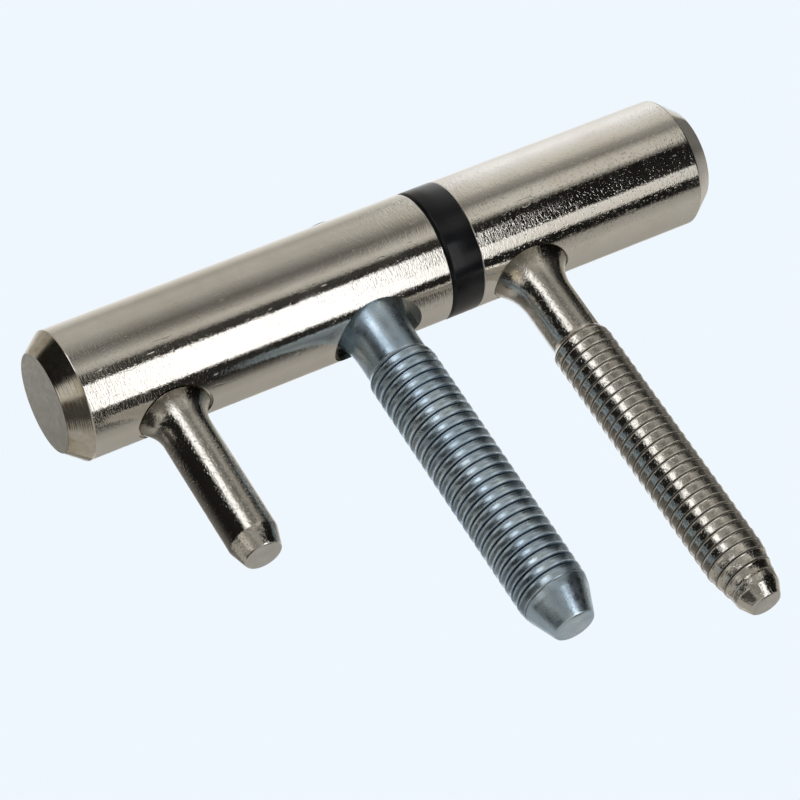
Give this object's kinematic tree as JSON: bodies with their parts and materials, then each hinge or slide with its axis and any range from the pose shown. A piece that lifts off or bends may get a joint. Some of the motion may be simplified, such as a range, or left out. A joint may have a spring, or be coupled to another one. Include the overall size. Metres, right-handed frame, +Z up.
{
  "type": "drill in hinge",
  "caption": "Lift-off door hinge: round barrel halves on a hidden pin with a plastic bearing ring, and threaded bolts and a guide pin that are drilled into the wood.",
  "frame": {"origin": "centre of the frame barrel's flat lower end, on the hinge axis", "axes": "+Z up the hinge axis as installed, +X along the bolts into the wood"},
  "size_m": [0.0632, 0.015, 0.0814],
  "materials": {
    "nickel": "nickel-plated steel, glossy with fine turning marks",
    "ground_steel": "ground hardened steel",
    "blue_zinc": "steel with blue-passivated zinc",
    "black_plastic": "black moulded plastic, satin",
    "pale_plastic": "natural bearing plastic"
  },
  "bodies": {
    "frame_half": {"frame_barrel": "nickel", "guide_pin": "nickel", "hinge_pin": "ground_steel"},
    "bolt": {"adjusting_bolt": "blue_zinc"},
    "bearing": {"bearing_ring": "black_plastic"},
    "leaf_half": {"leaf_barrel": "nickel", "leaf_bolt": "nickel", "pin_bush": "pale_plastic"}
  },
  "joints": [
    {"name": "bolt_turn", "type": "hinge", "parent": "frame_half", "child": "bolt", "pos_m": [0, 0, 0.0369], "axis": [1, 0, 0], "continuous": true},
    {"name": "lift_off", "type": "slide", "parent": "frame_half", "child": "bearing", "axis": [0, 0, 1], "range_m": [0, 0.022]},
    {"name": "swing", "type": "hinge", "parent": "bearing", "child": "leaf_half", "pos_m": [0, 0, 0.0504], "axis": [0, 0, 1], "continuous": true}
  ]
}
